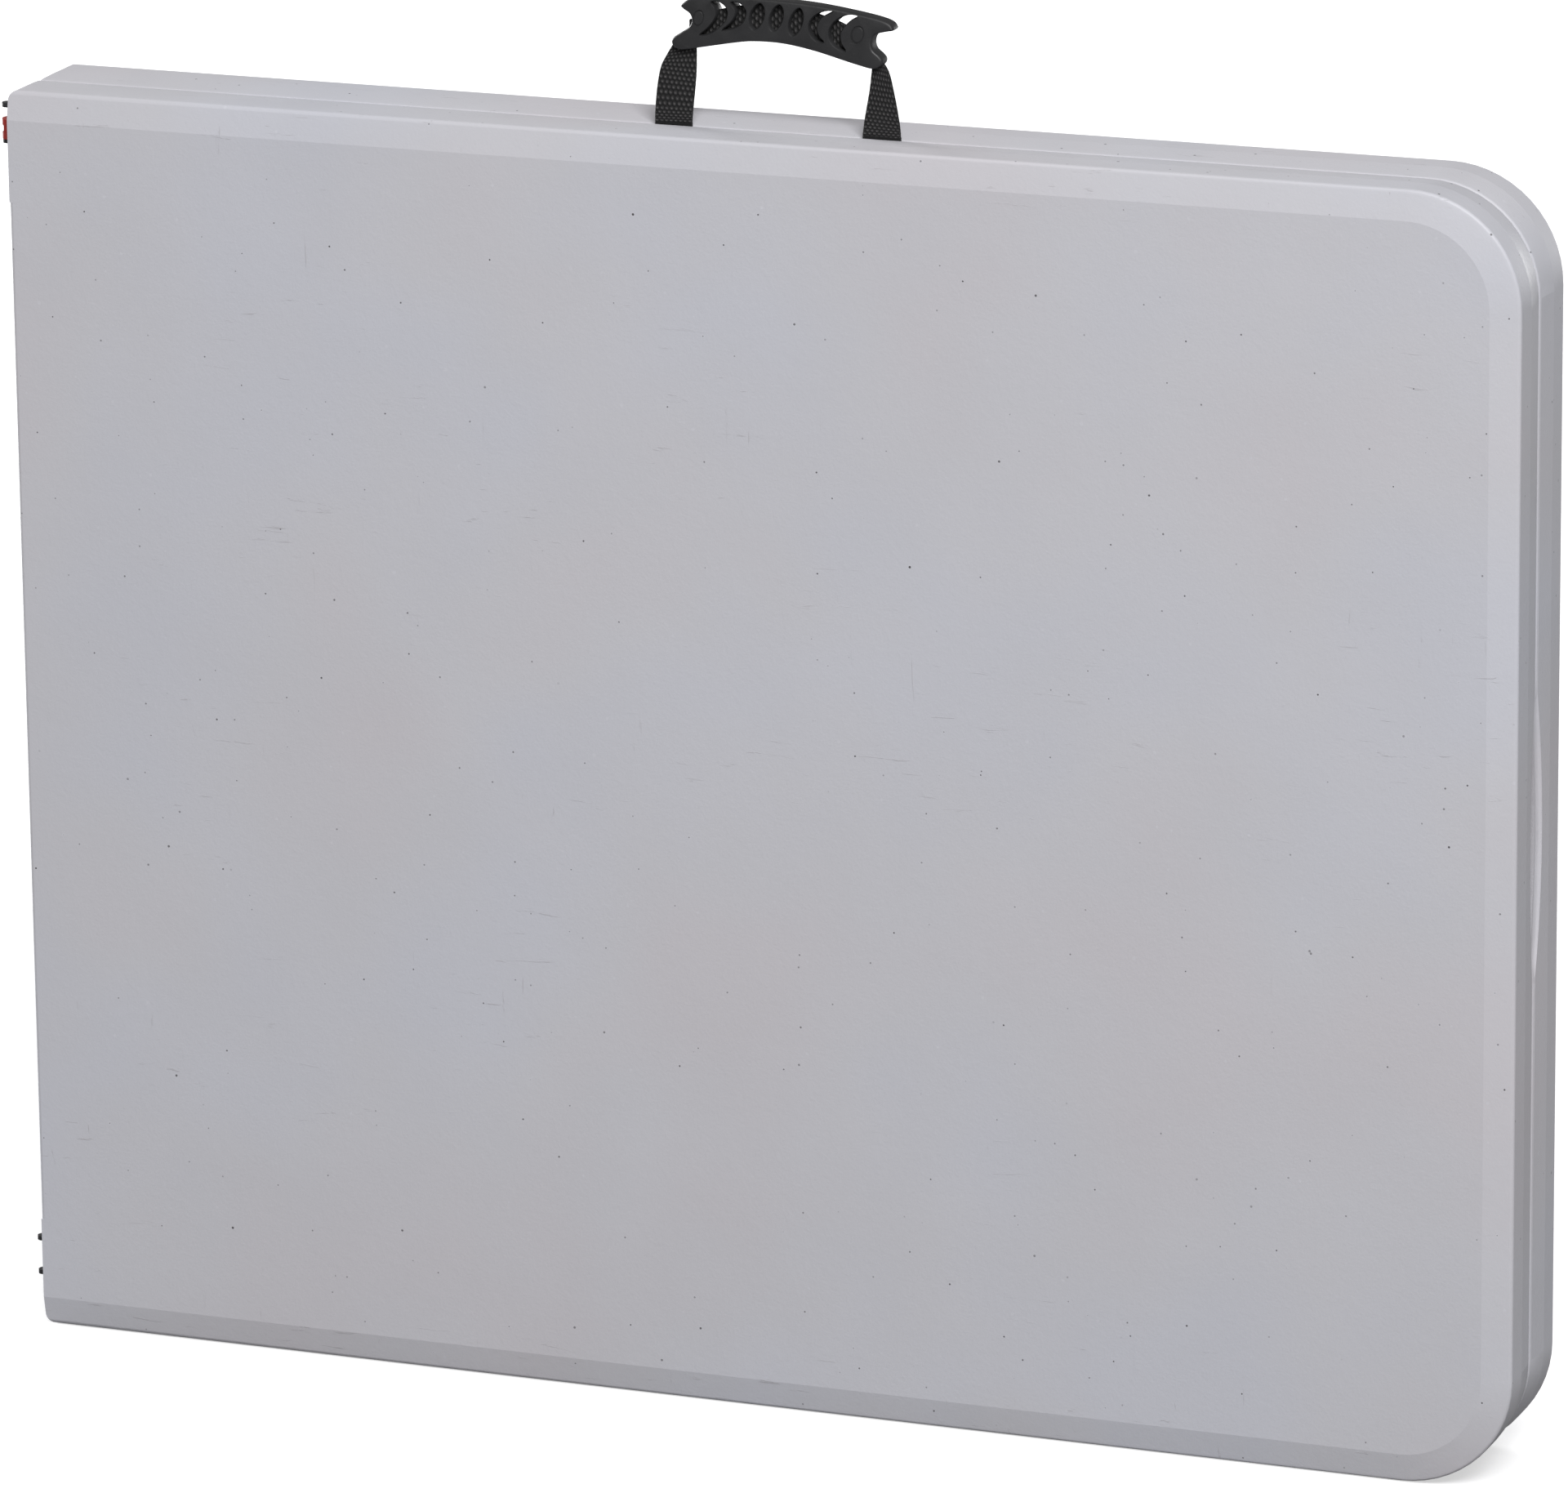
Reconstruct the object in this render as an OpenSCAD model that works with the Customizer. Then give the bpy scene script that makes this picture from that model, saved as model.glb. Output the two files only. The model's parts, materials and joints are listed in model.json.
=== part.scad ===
// Fold-in-half table with blow-moulded top halves, folded and standing on a long side.
// +Z is up, +X runs from the fold hinge to the far end, the two halves meet at y = 0.
// The front half is drawn at y < 0; the rear half is the same set of parts turned over.

/* [Top] */
// Length of one half, from fold edge to far end
half_l = 900; // [880:5:920]
// Width of the table, which is the height as it stands folded
top_w = 740; // [740:5:760]
// Depth of one half, from tabletop face to parting plane
half_t = 43; // [42.5:0.5:46]
// Radius of the two far corners in plan
corner_r = 65; // [60:1:75]
// Width of the sloping border round the tabletop face
border_w = 17; // [10:1:20]
// Depth that the sloping border drops
border_d = 2.8; // [1.5:0.1:3.2]
// Thickness of the hollow panel
panel_t = 16; // [15:0.5:18]
// Width of the rim
rim_w = 18; // [17:0.5:18]
// Skin thickness of the moulding
skin = 2.5; // [2:0.1:3]

/* [Hinge] */
// Reach of the hinge cheeks beyond the fold edge
hinge_reach = 23; // [21:0.5:24]
// Radius of the hinge pins
pin_r = 4; // [3.5:0.5:5]
// Distance of each hinge centre from its long side
hinge_in = 28; // [28:0.5:30]
// Thickness of the hinge cheeks
cheek_t = 2.6; // [2:0.2:2.6]
// Colour of the lock lever
lock_colour = "#b3342c"; // [#b3342c, #c8401e, #2f5fa8]

/* [Legs] */
// Distance of the leg pivots from the fold edge
leg_pivot = 830; // [825:1:832]
// Leg length from pivot to floor while stowed
leg_stowed = 597; // [590:1:600]
// Travel of the telescoping feet
leg_travel = 113.5; // [100:0.5:115]
// Radius of the outer leg tubes
leg_r = 11; // [10.8:0.1:11]
// Height of the lower front leg above the long side
leg_low = 75; // [73:0.5:77]
// Height of the upper front leg above the long side
leg_high = 635; // [633:0.5:637]

/* [Brace] */
// Distance of the brace bracket from the fold edge
brace_s = 520; // [518:1:522]
// Length of the upper brace link
link_a = 220; // [218:1:222]
// Length of the lower brace link
link_b = 240; // [238:1:242]

/* [Handle] */
// Spacing of the two strap ends
strap_gap = 124.5; // [120:0.5:130]
// Width of the webbing
strap_w = 22; // [20:0.5:24]
// Middle of the handle, from the fold edge
handle_s = 455; // [450:1:460]
// Length of the grip
grip_l = 126; // [120:1:132]

/* [Hidden] */
$fn = 64;
xf = -(half_l + hinge_reach) / 2 + hinge_reach;   // fold edge
e = 0.75;                       // fold edge to hinge axis
xa = xf - e;                    // hinge axis
H = top_w;
T = half_t;
rb = 0.25;                      // rim stands this far off the parting plane
und = T - panel_t;              // underside of the panel
disc_r = hinge_reach - e;
ph = 13.5;                      // depth of the leg axes
bh = 16;                        // depth of the brace pivot
rail_a = 9.2;                   // half width of the rails
rail_top = 5;
rail_bot = rail_top + 2 * rail_a;
ci = rail_a;                    // inner cheeks start here
co = ci + cheek_t + 0.3;        // outer cheeks start here
cb = leg_pivot - 330;           // cross bar, from the fold edge
brace_z = (leg_low + leg_high) / 2;
xl = xf + leg_pivot;
tongues = [282, 553];
sockets = [187, 458];
posts_s = [110, 250, 390, 530, 670, 790];
posts_z = [140, 235, 330, 425, 520, 600];
hz = H;                         // handle swings about the rim
hx = xf + handle_s;

// turns a front-half part over into the rear half
module over() { translate([0, 0, H]) rotate([180, 0, 0]) children(); }

// puts a plan drawing (s, z) between depths h0 and h1 of the front half
module slab(h0, h1) {
  translate([xf, -h0, 0]) rotate([90, 0, 0]) linear_extrude(height = h1 - h0) children();
}
// a box in front-half terms
module fbox(s0, s1, h0, h1, z0, z1) {
  translate([xf + s0, -h1, z0]) cube([s1 - s0, h1 - h0, z1 - z0]);
}
// a cylinder along Z in front-half terms
module zcyl(s, h, z0, z1, r) { translate([xf + s, -h, z0]) cylinder(r = r, h = z1 - z0); }
// a cylinder along X in front-half terms
module xcyl(s0, s1, h, z, r) { translate([xf + s0, -h, z]) rotate([0, 90, 0]) cylinder(r = r, h = s1 - s0); }
// a cylinder along depth in front-half terms
module ycyl(s, z, h0, h1, r, r2 = -1) {
  translate([xf + s, -h0, z]) rotate([90, 0, 0]) cylinder(r1 = r, r2 = r2 < 0 ? r : r2, h = h1 - h0);
}

// section of the edge: distance in from the side, then depth from the parting plane
function edge_section() = [
  [corner_r, T], [border_w, T], [2.4, T - border_d], [1.2, T - border_d - 0.45], [0.45, T - border_d - 1.1],
  [0.1, T - border_d - 1.9], [0, T - border_d - 2.8], [0, 21], [1.7, 2.8], [2.1, 1.5], [2.9, 0.65], [4, rb],
  [rim_w - 2.4, rb], [rim_w - 1, 0.6], [rim_w - 0.2, 1.5], [rim_w, 2.8], [rim_w + 0.5, und - 1.8],
  [rim_w + 0.9, und - 0.6], [rim_w + 2, und], [corner_r, und]];

// section along the fold edge
function fold_section() = [
  [40, T], [2, T], [0.9, T - 0.3], [0.25, T - 1], [0, T - 2], [0, 2.2], [0.3, 1.1], [1, 0.5], [2, rb],
  [rim_w - 2, rb], [rim_w - 0.5, 1], [rim_w, 2.4], [rim_w + 0.5, und - 1], [rim_w + 1.5, und], [40, und]];

module shell_solid() {
  // middle
  fbox(40, half_l - corner_r, und, T, corner_r, H - corner_r);
  // long sides
  translate([xf, 0, 0]) rotate([90, 0, 90]) linear_extrude(height = half_l - corner_r)
    polygon([for (p = edge_section()) [-p[1], p[0]]]);
  translate([xf, 0, H]) rotate([90, 0, 90]) linear_extrude(height = half_l - corner_r)
    polygon([for (p = edge_section()) [-p[1], -p[0]]]);
  // far end
  translate([xf + half_l, 0, corner_r]) linear_extrude(height = H - 2 * corner_r)
    polygon([for (p = edge_section()) [-p[0], -p[1]]]);
  // far corners
  translate([xf + half_l - corner_r, 0, corner_r]) rotate([90, 0, 0]) rotate([0, 0, -90]) rotate_extrude(angle = 90)
    polygon([for (p = edge_section()) [corner_r - p[0], p[1]]]);
  translate([xf + half_l - corner_r, 0, H - corner_r]) rotate([90, 0, 0]) rotate_extrude(angle = 90)
    polygon([for (p = edge_section()) [corner_r - p[0], p[1]]]);
  // fold edge
  translate([xf, 0, corner_r]) linear_extrude(height = H - 2 * corner_r)
    polygon([for (p = fold_section()) [p[0], -p[1]]]);
  for (z = [0, H - corner_r]) intersection() {
    translate([xf, 0, z]) linear_extrude(height = corner_r) polygon([for (p = fold_section()) [p[0], -p[1]]]);
    fbox(-1, 41, 0, T - border_d - 3, z == 0 ? 3 : z, z == 0 ? corner_r : H - 3);
  }
  // tongues that locate the other half when it is opened out
  for (z = tongues) fbox(-2.2, 2, 19, 33, z - 14, z + 14);
}

module cavity() {
  difference() {
    slab(und + skin, T - skin) {
      translate([22, 22]) square([half_l - corner_r - 22, H - 44]);
      translate([half_l - corner_r - 1, corner_r]) square([corner_r - 21, H - 2 * corner_r]);
      for (z = [corner_r, H - corner_r]) translate([half_l - corner_r, z]) circle(r = corner_r - 22);
    }
    for (s = posts_s, z = posts_z) ycyl(s, z, und, T, 11);
  }
  for (z = [4.5, H - 15.5]) {
    fbox(92, 360, 3, und + skin + 1, z, z + 11);
    fbox(560, half_l - corner_r - 10, 3, und + skin + 1, z, z + 11);
  }
  for (z = [75, 455]) fbox(half_l - 15.5, half_l - 4.5, 3, und + skin + 1, z, z + 210);
}

module half_panel() {
  difference() {
    shell_solid();
    cavity();
    // tack-off dimples in the underside
    for (s = posts_s, z = posts_z) ycyl(s, z, und - 1, T - 4.5, 8.5, 6);
    // pockets for the hinge cheeks
    for (z = [hinge_in, H - hinge_in]) {
      fbox(-3, rim_w + 4, -1, 24.5, z - 19, z + 19);
      fbox(10, 84, -1, 26.4, z - 18, z + 18);
    }
    // rounded ends of the fold edge
    for (z = [0, H]) difference() {
      fbox(-1, 6, -1, T + 1, z == 0 ? -1 : H - 6, z == 0 ? 6 : H + 1);
      ycyl(6, z == 0 ? 6 : H - 6, -2, T + 2, 6);
    }
    // sockets for the other half's tongues
    for (z = sockets) fbox(-1, 4, 17.5, 34.5, z - 15.5, z + 15.5);
    // slots for the strap ends
    for (k = [-0.5, 0.5]) fbox(handle_s + k * strap_gap - strap_w / 2 - 1.5, handle_s + k * strap_gap + strap_w / 2 + 1.5,
      -1, 2.6, H - rim_w - 2, H + 1);
    // finger scoop at the far end
    translate([xf + half_l - rim_w - 3, 405, H / 2]) rotate([0, 90, 0]) cylinder(r = 411, h = rim_w + 8, $fn = 180);
    // shallow relief outside the scoop
    translate([xf + half_l + 4, 400, H / 2]) rotate([0, 90, 0]) rotate([0, 0, 0]) translate([0, 0, -8]) cylinder(r = 411, h = 12, $fn = 180);
  }
}

module rail() {
  difference() {
    fbox(27, half_l - corner_r - 1, rail_top, rail_bot, hinge_in - rail_a, hinge_in + rail_a);
    fbox(26, half_l - corner_r, rail_top + 1.5, rail_bot - 1.5, hinge_in - rail_a + 1.5, hinge_in + rail_a - 1.5);
  }
}
module rail_at(z) { translate([0, 0, z - hinge_in]) rail(); }
module plugs() {
  for (z = [hinge_in, H - hinge_in]) {
    fbox(half_l - corner_r - 1, half_l - corner_r + 1.5, rail_top, rail_bot, z - rail_a, z + rail_a);
    fbox(half_l - corner_r - 13, half_l - corner_r - 1, rail_top + 1.6, rail_bot - 1.6, z - rail_a + 1.6, z + rail_a - 1.6);
  }
}
module rail_fixings() {
  for (z = [hinge_in, H - hinge_in], s = [150, 290, 470, 620, 770]) {
    ycyl(s, z, 3, rail_top, 3, 4.4);
    ycyl(s, z, rail_bot, und, 6);
  }
}

// one hinge leaf: a pair of cheeks at offset a, riveted to the rail
module leaf(zc, a) {
  difference() {
    union() {
      for (k = [-1, 1]) {
        zk = k < 0 ? zc - a - cheek_t : zc + a;
        zcyl(-e, 0, zk, zk + cheek_t, 12);
        // the inner cheeks run out to a narrow nose past the fold edge
        if (a == ci) {
          translate([xa, 0, zk]) linear_extrude(height = cheek_t)
            polygon([[0, -10], [-(disc_r - 3.6), -3.4], [-(disc_r - 3.6), 3.4], [0, 10]]);
          translate([xa - disc_r + 3.6, 0, zk]) cylinder(r = 3.6, h = cheek_t);
        }
        fbox(-e, 80, rail_top, rail_bot, zk, zk + cheek_t);
        fbox(-e, 22, 2.5, 18, zk, zk + cheek_t);
        if (a > ci) fbox(30, 78, rail_top + 2, rail_bot - 2, k < 0 ? zc - a : zc + ci, k < 0 ? zc - ci : zc + a);
      }
      fbox(28, 80, rail_bot, rail_bot + 2.4, zc - a - cheek_t, zc + a + cheek_t);
    }
    zcyl(-e, 0, zc - 30, zc + 30, pin_r + 0.05);
  }
}
module leaf_rivets() {
  for (v = [[hinge_in, co], [H - hinge_in, ci]], s = [42, 66], k = [-1, 1])
    translate([xf + s, -(rail_top + rail_a), v[0] + k * (v[1] + cheek_t)]) rotate([k > 0 ? 0 : 180, 0, 0])
      cylinder(r1 = 4.5, r2 = 3, h = 1.5);
}
module hinge_pin(zc) {
  zcyl(-e, 0, zc - co - cheek_t - 0.2, zc + co + cheek_t + 0.2, pin_r);
  for (k = [-1, 1]) translate([xa, 0, zc + k * (co + cheek_t + 0.2)]) rotate([k > 0 ? 0 : 180, 0, 0])
    cylinder(r1 = 7.5, r2 = 5.5, h = 2);
}

module lock_lever() {
  color(lock_colour) {
    zc = H - hinge_in;
    difference() {
      union() {
        zcyl(-e, 0, zc - ci + 0.3, zc + 2.7, 8);
        translate([xa - 19.4, -6, zc - ci + 0.3]) cube([15, 12, 11.6]);
        for (z = [zc - ci + 0.3, zc - 0.9]) translate([xa - 15.4, 0, z]) cylinder(r = 6.7, h = 3.6);
      }
      zcyl(-e, 0, zc - 20, zc + 20, pin_r + 0.05);
      translate([xa - 24, -10, zc - ci + 3.9]) cube([4.8, 20, 4.4]);
    }
  }
}
module lock_spring() {
  color("#8d9096") {
    zc = H - hinge_in;
    difference() { zcyl(-e, 0, zc + 3.1, zc + 8.6, 6); zcyl(-e, 0, zc + 3, zc + 8.7, pin_r + 0.6); }
    fbox(4.6, 20, -0.6, 0.6, zc + 5.2, zc + 6.4);
  }
}

module leg_bracket(zc) {
  difference() {
    union() {
      fbox(leg_pivot - 24, leg_pivot + 24, 25, und, zc - 21, zc + 21);
      for (k = [-1, 1]) {
        z0 = k < 0 ? zc - 11 : zc + 8.5;
        zcyl(leg_pivot, ph, z0, z0 + 2.5, 12);
        fbox(leg_pivot - 12, leg_pivot + 12, ph, 25.5, z0, z0 + 2.5);
      }
    }
    zcyl(leg_pivot, ph, zc - 30, zc + 30, 6.05);
  }
}
module brace_bracket() {
  fbox(brace_s - 7, brace_s + 35, 25, und, brace_z - 20, brace_z + 12);
  difference() {
    union() {
      zcyl(brace_s, bh, brace_z - 7.4, brace_z - 4.6, 8);
      fbox(brace_s - 7.9, brace_s + 30, bh, 25.2, brace_z - 7.4, brace_z - 4.6);
    }
    translate([xf + brace_s + 8, -bh - 1, brace_z - 10]) rotate([0, 0, 0]) cube([40, 3, 10]);
  }
  zcyl(brace_s, bh, brace_z - 5, brace_z - 0.4, 3);
}
module bracket_fixings() {
  for (zc = [leg_low, leg_high], ds = [-18, 18], k = [-1, 1]) ycyl(leg_pivot + ds, zc + k * 16, 23, 25, 3, 4);
  for (ds = [2, 28]) ycyl(brace_s + ds, brace_z - 14, 23, 25, 3, 4);
}

module outer_tube(zc) {
  difference() { xcyl(leg_pivot - 480, leg_pivot - 14, ph, zc, leg_r); xcyl(leg_pivot - 490, leg_pivot, ph, zc, 9.8); }
}
module lugs() {
  for (zc = [leg_low, leg_high]) difference() {
    union() { zcyl(leg_pivot, ph, zc - 8, zc + 8, 10.5); xcyl(leg_pivot - 44, leg_pivot, ph, zc, 7.9);
      xcyl(leg_pivot - 44, leg_pivot - 14, ph, zc, 9.8); }
    zcyl(leg_pivot, ph, zc - 20, zc + 20, 6);
  }
}
module pivot_rod() {
  difference() { zcyl(leg_pivot, ph, leg_low - 14, leg_high + 14, 6); zcyl(leg_pivot, ph, leg_low - 20, leg_high + 20, 4.6); }
  for (z = [leg_low - 16.5, leg_high + 14]) zcyl(leg_pivot, ph, z, z + 2.5, 8);
}
module cross_bar() {
  difference() { zcyl(cb, ph, leg_low + leg_r, leg_high - leg_r, 8); zcyl(cb, ph, leg_low, leg_high, 6.6); }
}
module inner_tube(zc) {
  difference() { xcyl(leg_pivot - leg_stowed + 5, leg_pivot - 335, ph, zc, 9.5); xcyl(leg_pivot - leg_stowed + 4, leg_pivot - 330, ph, zc, 8.3); }
}
module feet() {
  for (zc = [leg_low, leg_high]) difference() {
    union() {
      xcyl(leg_pivot - leg_stowed, leg_pivot - leg_stowed + 26, ph, zc, 12.2);
      xcyl(leg_pivot - leg_stowed, leg_pivot - leg_stowed + 6, ph, zc, 12.8);
    }
    xcyl(leg_pivot - leg_stowed + 5, leg_pivot - leg_stowed + 30, ph, zc, 9.5);
  }
}
module collar(zc) {
  difference() {
    union() {
      xcyl(leg_pivot - 497, leg_pivot - 462, ph, zc, 12.2);
      for (a = [0:30:330]) translate([xf + leg_pivot - 493, -ph, zc]) rotate([a, 0, 0]) translate([0, 11.4, -1])
        cube([27, 1.4, 2]);
    }
    xcyl(leg_pivot - 480.3, leg_pivot - 460, ph, zc, leg_r + 0.3);
    xcyl(leg_pivot - 500, leg_pivot - 460, ph, zc, 9.8);
  }
}
module upper_link() {
  difference() {
    union() {
      fbox(brace_s, brace_s + link_a, bh - 7.5, bh + 7.5, brace_z - 4.2, brace_z - 0.2);
      zcyl(brace_s, bh, brace_z - 4.2, brace_z - 0.2, 7.5);
      zcyl(brace_s + link_a, bh, brace_z - 4.2, brace_z - 0.2, 7.5);
      zcyl(brace_s + link_a, bh, brace_z - 5.8, brace_z - 4.2, 5.5);
    }
    zcyl(brace_s, bh, brace_z - 10, brace_z + 10, 3.05);
  }
}
module lower_link() {
  difference() {
    union() {
      translate([xf + cb, -ph, brace_z]) rotate([0, 0, -0.6]) {
        translate([0, -7.5, 0.2]) cube([link_b, 15, 4]);
        translate([link_b, 0, 0.2]) cylinder(r = 7.5, h = 4);
        translate([link_b, 0, 4.2]) cylinder(r = 5.5, h = 1.6);
      }
      zcyl(cb, ph, brace_z - 8, brace_z + 8, 11);
    }
    zcyl(cb, ph, brace_z - 20, brace_z + 20, 8.05);
  }
}

// strap ends inside the front half, bent down on to the rail
module strap_tail(s) {
  translate([xf + s - strap_w / 2, 0, 0]) rotate([90, 0, 90]) linear_extrude(height = strap_w)
    polygon([[-0.4, hz], [-2.2, hz], [-2.2, H - 20.6], [-5, H - 24], [-5, H - 38], [-3.2, H - 38], [-3.2, H - 23.2], [-0.4, H - 18.6]]);
}
module strap_plates() {
  for (k = [-0.5, 0.5]) {
    s = handle_s + k * strap_gap;
    fbox(s - 11, s + 11, 2, 3.2, H - 37, H - 25);
    ycyl(s, H - 31, 0.6, 2, 3, 4);
  }
}
tilt = -2.6;                    // the grip leans a little along its length
gz = 797;                       // middle of the grip
gy = -1.3;                      // depth of the straps
module grip_frame() { translate([hx + 4, gy, gz]) rotate([0, -tilt, 0]) children(); }
function arch(n, w, z0, rise) = [for (i = [0:n]) let (t = -1 + 2 * i / n) [t * w / 2, z0 + rise * (1 - t * t)]];
module webbing_plan(g) {
  l0 = hx - strap_gap / 2; r0 = hx + strap_gap / 2; w = strap_w / 2;
  polygon([[l0 - w, hz + 2], [l0 + w, hz + 2], [l0 + 8 + w - 2, hz + 40], [l0 + 8 + w + 4, hz + 48 - g],
    [r0 - w - 6, hz + 45 - g], [r0 - w, hz + 36], [r0 - w, hz + 2], [r0 + w, hz + 2], [r0 + w - 2, hz + 40], [r0 + w - 5, hz + 58 + g],
    [hx + 4, hz + 66 + g], [l0 + 4, hz + 62 + g], [l0 - w + 6, hz + 42]]);
}
module handle_webbing() {
  color("#2b2b2d") translate([0, gy + 0.9, 0]) rotate([90, 0, 0]) linear_extrude(height = 1.8) webbing_plan(0);
}
module handle_grip() {
  color("#303033") difference() {
    grip_frame() translate([0, 6, 0]) rotate([90, 0, 0]) linear_extrude(height = 12)
      polygon(concat([[-63, -9], [-59, -1.5], [-63, 9]], [for (p = arch(14, grip_l - 2, 9, 8)) p],
        [[63, 9], [59, -1.5], [63, -9]], [for (i = [14:-1:0]) let (p = arch(14, grip_l - 4, -11, 5)) p[i]]));
    translate([0, gy + 1.2, 0]) rotate([90, 0, 0]) linear_extrude(height = 2.4) webbing_plan(0.6);
    grip_frame() for (x = [-36, -24, -9, 0, 9, 24, 36]) translate([x, 10, 3 + 5 * (1 - abs(x) / 63)]) rotate([90, 0, 0])
      linear_extrude(height = 20) { square([2.6, 8], center = true); translate([0, 4]) circle(r = 1.3); translate([0, -4]) circle(r = 1.3); }
  }
}

module panel_front() { color("#d9dade") half_panel(); }
module panel_rear() { color("#d9dade") over() half_panel(); }
steel = "#6f7378"; black = "#26272a";

panel_front();
panel_rear();
color(steel) rail_at(hinge_in);  // rail_front_lower
color(steel) rail_at(H - hinge_in);  // rail_front_upper
color(steel) over() rail_at(H - hinge_in);  // rail_rear_lower
color(steel) over() rail_at(hinge_in);  // rail_rear_upper
color(black) plugs();  // rail_plugs_front
color(black) over() plugs();  // rail_plugs_rear
color("#9a9da2") rail_fixings();  // rail_screws_front
color("#9a9da2") over() rail_fixings();  // rail_screws_rear
color(black) leaf(hinge_in, co);  // hinge_leaf_front_lower
color(black) leaf(H - hinge_in, ci);  // hinge_leaf_front_upper
color(black) over() leaf(H - hinge_in, ci);  // hinge_leaf_rear_lower
color(black) over() leaf(hinge_in, co);  // hinge_leaf_rear_upper
color("#9a9da2") leaf_rivets();  // hinge_rivets_front
color("#9a9da2") over() leaf_rivets();  // hinge_rivets_rear
color("#55585c") hinge_pin(hinge_in);  // hinge_pin_lower
color("#55585c") hinge_pin(H - hinge_in);  // hinge_pin_upper
lock_lever();
lock_spring();
color(black) leg_bracket(leg_low);  // leg_bracket_front_lower
color(black) leg_bracket(leg_high);  // leg_bracket_front_upper
color(black) over() leg_bracket(leg_high);  // leg_bracket_rear_lower
color(black) over() leg_bracket(leg_low);  // leg_bracket_rear_upper
color("#9a9da2") bracket_fixings();  // bracket_screws_front
color("#9a9da2") over() bracket_fixings();  // bracket_screws_rear
color(black) brace_bracket();  // brace_bracket_front
color(black) over() brace_bracket();  // brace_bracket_rear
color(steel) pivot_rod();  // pivot_rod_front
color(steel) over() pivot_rod();  // pivot_rod_rear
color(steel) outer_tube(leg_low);  // leg_tube_front_lower
color(steel) outer_tube(leg_high);  // leg_tube_front_upper
color(steel) over() outer_tube(leg_high);  // leg_tube_rear_lower
color(steel) over() outer_tube(leg_low);  // leg_tube_rear_upper
color(black) lugs();  // leg_lugs_front
color(black) over() lugs();  // leg_lugs_rear
color(steel) cross_bar();  // cross_bar_front
color(steel) over() cross_bar();  // cross_bar_rear
color("#9a9da2") inner_tube(leg_low);  // inner_leg_front_lower
color("#9a9da2") inner_tube(leg_high);  // inner_leg_front_upper
color("#9a9da2") over() inner_tube(leg_high);  // inner_leg_rear_lower
color("#9a9da2") over() inner_tube(leg_low);  // inner_leg_rear_upper
color(black) feet();  // feet_front
color(black) over() feet();  // feet_rear
color(black) collar(leg_low);  // collar_front_lower
color(black) collar(leg_high);  // collar_front_upper
color(black) over() collar(leg_high);  // collar_rear_lower
color(black) over() collar(leg_low);  // collar_rear_upper
color(steel) upper_link();  // brace_upper_front
color(steel) lower_link();  // brace_lower_front
color(steel) over() upper_link();  // brace_upper_rear
color(steel) over() lower_link();  // brace_lower_rear
color("#2b2b2d") strap_tail(handle_s - strap_gap / 2);  // strap_tail_left
color("#2b2b2d") strap_tail(handle_s + strap_gap / 2);  // strap_tail_right
color("#9a9da2") strap_plates();
handle_webbing();
handle_grip();
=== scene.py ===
import bpy
import bmesh
import json
import math
import random
from mathutils import Vector, Matrix
from mathutils.geometry import delaunay_2d_cdt


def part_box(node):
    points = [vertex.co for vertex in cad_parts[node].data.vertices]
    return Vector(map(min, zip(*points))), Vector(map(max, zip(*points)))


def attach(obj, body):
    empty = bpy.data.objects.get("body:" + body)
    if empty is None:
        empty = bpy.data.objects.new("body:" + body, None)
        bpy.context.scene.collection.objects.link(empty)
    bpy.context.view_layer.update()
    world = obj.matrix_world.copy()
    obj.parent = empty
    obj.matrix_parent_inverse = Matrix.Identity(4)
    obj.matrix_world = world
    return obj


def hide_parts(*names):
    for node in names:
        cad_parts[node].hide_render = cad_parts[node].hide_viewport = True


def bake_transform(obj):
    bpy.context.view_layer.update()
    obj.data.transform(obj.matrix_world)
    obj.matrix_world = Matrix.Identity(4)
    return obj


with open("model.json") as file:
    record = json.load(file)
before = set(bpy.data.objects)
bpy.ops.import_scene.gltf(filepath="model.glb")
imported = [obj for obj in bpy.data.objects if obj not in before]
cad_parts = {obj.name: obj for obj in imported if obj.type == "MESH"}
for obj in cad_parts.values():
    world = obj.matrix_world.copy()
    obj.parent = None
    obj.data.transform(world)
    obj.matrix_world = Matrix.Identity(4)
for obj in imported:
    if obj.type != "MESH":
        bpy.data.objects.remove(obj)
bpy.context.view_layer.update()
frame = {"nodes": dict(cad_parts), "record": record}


N = frame["nodes"]
random.seed(7)
MM = 0.001
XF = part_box("panel_front")[0].x + 0.0022      # fold edge
H = 0.740
scene = bpy.context.scene

# ------------------------------------------------------------------ camera
AZ, EL, ROLL = math.radians(21.256), math.radians(15.551), math.radians(-0.619)
back = Vector((math.sin(AZ) * math.cos(EL), -math.cos(AZ) * math.cos(EL), math.sin(EL)))
right = Vector((math.cos(AZ), math.sin(AZ), 0))
up = back.cross(right)
c, s = math.cos(ROLL), math.sin(ROLL)
r2 = right * c + up * s
u2 = up * c - right * s
cam_data = bpy.data.cameras.new("camera")
cam = bpy.data.objects.new("camera", cam_data)
scene.collection.objects.link(cam)
m = Matrix((r2, u2, back)).transposed().to_4x4()
m.translation = Vector((XF + 2.475, -5.152 - 0.043, 1.931))
cam.matrix_world = m
cam_data.sensor_width = 36
cam_data.sensor_fit = "HORIZONTAL"
cam_data.lens = 12497 / 1920 * 36
cam_data.clip_end = 60
scene.camera = cam


# ------------------------------------------------------------------ materials
def new_mat(name):
    mt = bpy.data.materials.new(name)
    mt.use_nodes = True
    nt = mt.node_tree
    nt.nodes.clear()
    out = nt.nodes.new("ShaderNodeOutputMaterial")
    b = nt.nodes.new("ShaderNodeBsdfPrincipled")
    nt.links.new(b.outputs[0], out.inputs[0])
    tc = nt.nodes.new("ShaderNodeTexCoord")
    return mt, nt, b, tc.outputs["Object"]


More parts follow.
